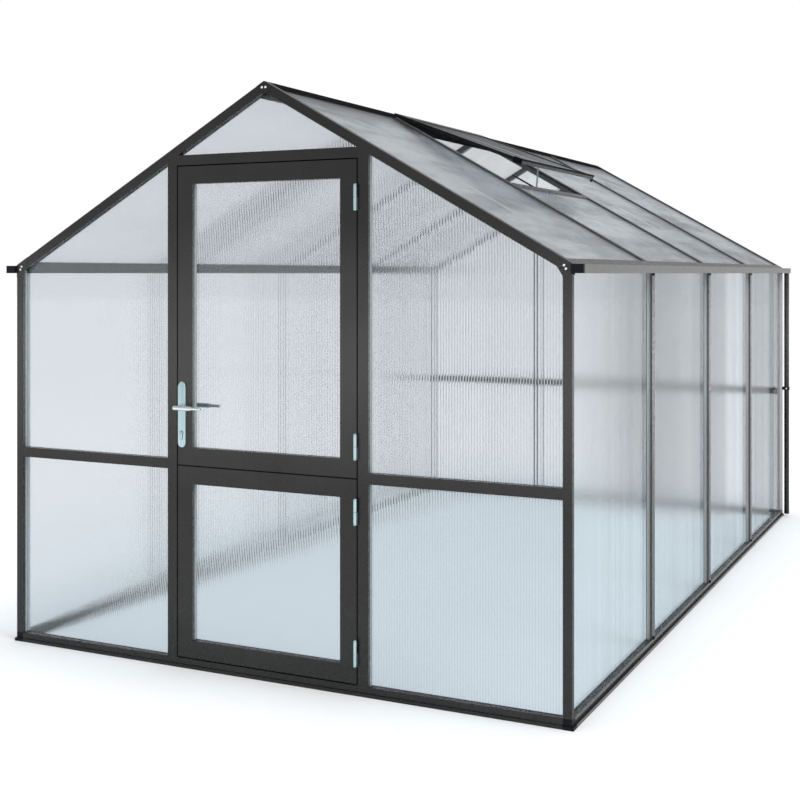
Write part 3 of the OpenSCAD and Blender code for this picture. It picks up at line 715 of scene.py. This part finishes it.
def frame_half(bm, x, y, z):
    """Lower barrel with its flap on the jamb, and the pin that stands in both barrels."""
    knuckle(bm, x, y, z, -1)
    block(bm, (x + 0.0025, y, z - 0.0505), (x + 0.005, FRONT + 0.020, z - 0.001), 0.0004)
    pin = [(0, 0.045), (0.003, 0.0445), (0.003, -0.001), (0, -0.001)]
    lathe(bm, (x, y, z), (0, 0, 1), pin, 16)


def leaf_half(bm, x, y, z):
    """Upper barrel with its flap on the leaf's edge."""
    knuckle(bm, x, y, z, 1)
    block(bm, (x, y, z + 0.001), (x + 0.002, FRONT + 0.020, z + 0.0505), 0.0004)


def hinges(name, half, body, node):
    """One half of every hinge in a node's box, as one piece."""
    bm = bmesh.new()
    for z in hinge_heights()[node]:
        half(bm, LEAF_HI.x, HINGE_Y, z)
    piece(name, bm, steel, body, "steel", node)


# ---------------------------------------------------------------- handle
KNOB_X = (PLATE_LO.x + PLATE_HI.x) / 2
KNOB_Z = (LEVER_LO.z + LEVER_HI.z) / 2
KEY_Z = (KEY_LO.z + KEY_HI.z) / 2
PLATE_W = (PLATE_HI.x - PLATE_LO.x) / 2
CROWN = 0.027           # height of a plate's slightly pointed top
GRIP_R = 0.0095         # radius of a lever's grip
GRIP_OUT = FRONT - LEVER_LO.y - GRIP_R          # distance of its axis from the leaf
FACES = ((FRONT, -1), (FRONT + FRAME_D, 1))     # the leaf's two faces and their ways out


def arc(r, height, start, turn, steps):
    """Points on a circle about a height; start and turn count half circles."""
    angles = [math.pi * (start + turn * k / steps) for k in range(steps + 1)]
    return [(r * math.cos(a), height + r * math.sin(a)) for a in angles]


def plate_loop():
    """Outline of a handle plate: a round foot and a slightly pointed top."""
    loop = arc(PLATE_W, PLATE_LO.z + PLATE_W, 1, 1, 12)
    for x, z in arc(1.0, 0.0, 0, 1, 16):
        side = math.copysign(abs(x) ** 1.2, x)
        loop.append((PLATE_W * side, PLATE_HI.z + CROWN * (z - 1)))
    return loop


def on_face(y, way, z=0.0):
    """Puts an outline's points on a face of the leaf, about the knob's upright line."""
    return lambda a, b, h: (KNOB_X + a, y + way * h, z + b)


def handle_plates():
    """Plate with a ring round the spindle, on both faces of the leaf."""
    bm = bmesh.new()
    ring = [(0.0135, 0), (0.0135, 0.002), (0.0125, 0.0032), (0.0082, 0.0036), (0.0082, 0)]
    for y, way in FACES:
        slab(bm, plate_loop(), on_face(y, way), 0.008, 0.0028)
        lathe(bm, (KNOB_X, y + way * 0.0075, KNOB_Z), (0, way, 0), ring)
    piece("handle_plates_round", bm, steel, UPPER, "steel", "handle_plates")


def key_cylinders():
    """Key cylinders, and black plastic as painted shade in the space round each and in its key
    slot.
    """
    cylinders, shade_marks = bmesh.new(), bmesh.new()
    loop = arc(0.008, 0.0, -0.30, 1.60, 18) + arc(0.0047, -0.0200, 1, 1, 8)
    # painted shade: a black ring round the cylinder and a black key slot
    gap_shade = offset_loop(loop, -0.0016)
    slot = [(-0.0007, -0.0055), (0.0007, -0.0055), (0.0010, 0.0), (0.0007, 0.0050),
            (-0.0007, 0.0050), (-0.0010, 0.0)]
    for y, way in FACES:
        place = on_face(y, way, KEY_Z)
        slab(cylinders, loop, place, 0.0105, 0.0006)
        slab(shade_marks, gap_shade, place, 0.0084)
        slab(shade_marks, slot, place, 0.0108)
    piece("key_cylinders", cylinders, steel, UPPER, "steel", "lock_cylinder")
    piece("key_shade_marks", shade_marks, black_plastic, UPPER, "black_plastic")


def grip(end):
    """Profile of a lever along its grip, from its round heel to its tip."""
    r = GRIP_R
    return [(0, -r), (0.0045, -r + 0.0004), (0.0075, -r + 0.0024), (0.0090, -r + 0.0058),
            (r, 0.0), (r, 0.060), (0.0093, 0.068), (0.0086, 0.0745), (0.0068, 0.0775),
            (0.0062, 0.081), (0.0060, 0.100), (0.0062, end - 0.006), (0.0058, end - 0.002),
            (0.0044, end - 0.0005), (0, end)]


def levers():
    """Lever with its spindle and end caps, on both faces of the leaf."""
    bm, caps = bmesh.new(), bmesh.new()
    heel, tip = KNOB_X - GRIP_R, LEVER_HI.x
    spindle = [(0, -0.012), (0.008, -0.012), (0.008, 0.013), (0.0075, 0.020),
               (0.0075, 0.036), (0.0082, GRIP_OUT), (0, GRIP_OUT)]
    for y, way in FACES:
        grip_y = y + way * GRIP_OUT
        lathe(bm, (KNOB_X, grip_y, KNOB_Z), (1, 0, 0), grip(tip - KNOB_X), 28)
        lathe(bm, (KNOB_X, y, KNOB_Z), (0, way, 0), spindle)
        for x, out, r in ((heel - 0.0001, -1, 0.0035), (tip + 0.0001, 1, 0.0030)):
            cap = [(0, 0.0), (r, -0.0002), (0.0038, -0.0012), (0, -0.0012)]
            lathe(caps, (x, grip_y, KNOB_Z), (out, 0, 0), cap, 16)
    piece("lever_handles", bm, bright_steel, LEVER, "steel", "door_lever", angle=50)
    piece("lever_end_caps", caps, black_plastic, LEVER, "black_plastic")


# ---------------------------------------------------------------- roof vent
def vent_seal():
    """Seal along the vent leaf's free edge, with its end caps and a small catch."""
    tilt = PITCH - math.radians(VENT_OPEN)
    c, s = math.cos(tilt), math.sin(tilt)
    edge_x = VENT_HI.x
    edge_z = roof_z(VENT_HINGE_X) + VENT_LIFT - (edge_x - VENT_HINGE_X) * math.tan(tilt)
    y0, y1 = VENT_LO.y, VENT_HI.y

    def leaf(p):
        """Puts a point past, along and above the leaf's free edge in its place."""
        return Vector((edge_x + p[0] * c + p[2] * s, p[1], edge_z - p[0] * s + p[2] * c))

    bm = bmesh.new()
    strip = [(-0.006, -0.0005), (-0.006, 0.0022), (-0.002, 0.0036), (0.003, 0.0026),
             (0.0042, -0.0004), (0.0036, -0.0045), (0.0006, -0.0045), (0.0006, -0.0005)]
    rail(bm, strip, lambda past, above, y: leaf((past, y, above)), y0 - 0.003, y1 + 0.006)
    block(bm, (-0.040, y0 - 0.004, -0.0235), (0.003, y0 + 0.0005, 0.0035), 0.0012, leaf)
    block(bm, (-0.034, y1 - 0.0005, -0.0205), (0.001, y1 + 0.003, 0.001), 0.0012, leaf)
    block(bm, (-0.010, y1 + 0.001, -0.034), (0.0005, y1 + 0.006, 0.003), 0.001, leaf)
    piece("vent_edge_seal", bm, rubber, HOUSE, "black_plastic")


plate_bolts()
bracket_bolts()
bar_ends()
door_seals()
split_seal()
hinges("hinge_barrels_frame", frame_half, HOUSE, "frame_hinges")
hinges("hinge_barrels_upper", leaf_half, UPPER, "upper_hinges")
hinges("hinge_barrels_lower", leaf_half, LOWER, "lower_hinges")
handle_plates()
key_cylinders()
levers()
vent_seal()


# ---------------------------------------------------------------- stage
def floor_look():
    """White floor, lit a little more away from the house, and plain light where seen."""
    m, g = new_material("floor_white")
    where = g.add("ShaderNodeTexCoord").outputs["Object"]
    tone = g.spread(g.noise(where, 0.6, 2.0), 0.3, 0.7, 0, 1)
    colour = g.mix(tone, (0.89, 0.89, 0.89, 1), (0.9, 0.9, 0.9, 1))
    matt = g.add("ShaderNodeBsdfDiffuse", {"Color": colour}).outputs[0]
    path = g.add("ShaderNodeLightPath").outputs
    seen = g.math("MAXIMUM", path["Is Camera Ray"], path["Is Transmission Ray"])
    seen = g.math("MAXIMUM", seen, path["Is Glossy Ray"])
    beyond = g.vec("SUBTRACT", g.vec("ABSOLUTE", where), (HALF_W, BACK, 0))
    off = g.add("ShaderNodeSeparateXYZ", {0: beyond}).outputs
    far = g.spread(g.math("MAXIMUM", off["X"], off["Y"]), -0.02, 0.7, 0.1, 0.3)
    glow = g.add("ShaderNodeEmission", {
        "Color": g.mix(seen, (0, 0, 0, 1), (1, 1, 1, 1)), "Strength": far}).outputs[0]
    g.surface(g.plus(matt, glow))
    return m


def stage_floor():
    bm = bmesh.new()
    bmesh.ops.create_grid(bm, x_segments=4, y_segments=4, size=60)
    me = bpy.data.meshes.new("floor")
    bm.to_mesh(me)
    bm.free()
    me.materials.append(floor_look())
    floor = bpy.data.objects.new("floor", me)
    bpy.context.scene.collection.objects.link(floor)


def light_world():
    """White where it is seen straight or through a sheet, clouds where it mirrors, and
    a grey light without direction for the rest."""
    world = bpy.data.worlds.new("studio")
    bpy.context.scene.world = world
    world.use_nodes = True
    g = Graph(world.node_tree)
    path = g.add("ShaderNodeLightPath").outputs
    where = g.add("ShaderNodeTexCoord").outputs["Generated"]
    cloud = g.noise(g.vec("MULTIPLY", where, (1.0, 1.0, 1.4)), 8.0, 6.0, 0.62)
    dim = g.spread(cloud, 0.35, 0.68, 0.40, 0.66)
    height = g.add("ShaderNodeSeparateXYZ", {0: where}).outputs["Z"]
    sky = g.mix(g.spread(height, 0.06, 0.16, 1.0, 0.0), dim, (1, 1, 1, 1))
    direct = g.math("MAXIMUM", path["Is Camera Ray"], path["Is Transmission Ray"])
    other = g.mix(path["Is Glossy Ray"], (0.88, 0.88, 0.88, 1), sky)
    colour = g.mix(direct, other, (1, 1, 1, 1))
    back = g.add("ShaderNodeBackground", {"Color": colour, "Strength": 1.0}).outputs[0]
    g.surface(back, "World")


def area(name, place, aim, size, power):
    """Rectangular lamp that points at a place."""
    data = bpy.data.lights.new(name, "AREA")
    data.shape = "RECTANGLE"
    data.size, data.size_y = size
    data.energy = power
    lamp = bpy.data.objects.new(name, data)
    lamp.location = place
    lamp.rotation_euler = (Vector(aim) - Vector(place)).to_track_quat("-Z", "Y").to_euler()
    bpy.context.scene.collection.objects.link(lamp)


def camera():
    """The photo's camera: level, its frame shifted so that upright lines stay upright."""
    data = bpy.data.cameras.new("camera")
    data.sensor_width = 36.0
    data.lens = 57.41
    data.shift_y = -0.1584
    cam = bpy.data.objects.new("camera", data)
    cam.location = (2.6469, -6.4325, 1.5876)
    cam.rotation_euler = (math.radians(90), 0, math.radians(25.878))
    bpy.context.scene.collection.objects.link(cam)
    bpy.context.scene.camera = cam


stage_floor()
light_world()
area("key", (7, -3, 8), (0, 0, 1), (5, 5), 350)
camera()
bpy.context.scene.view_settings.view_transform = "Standard"
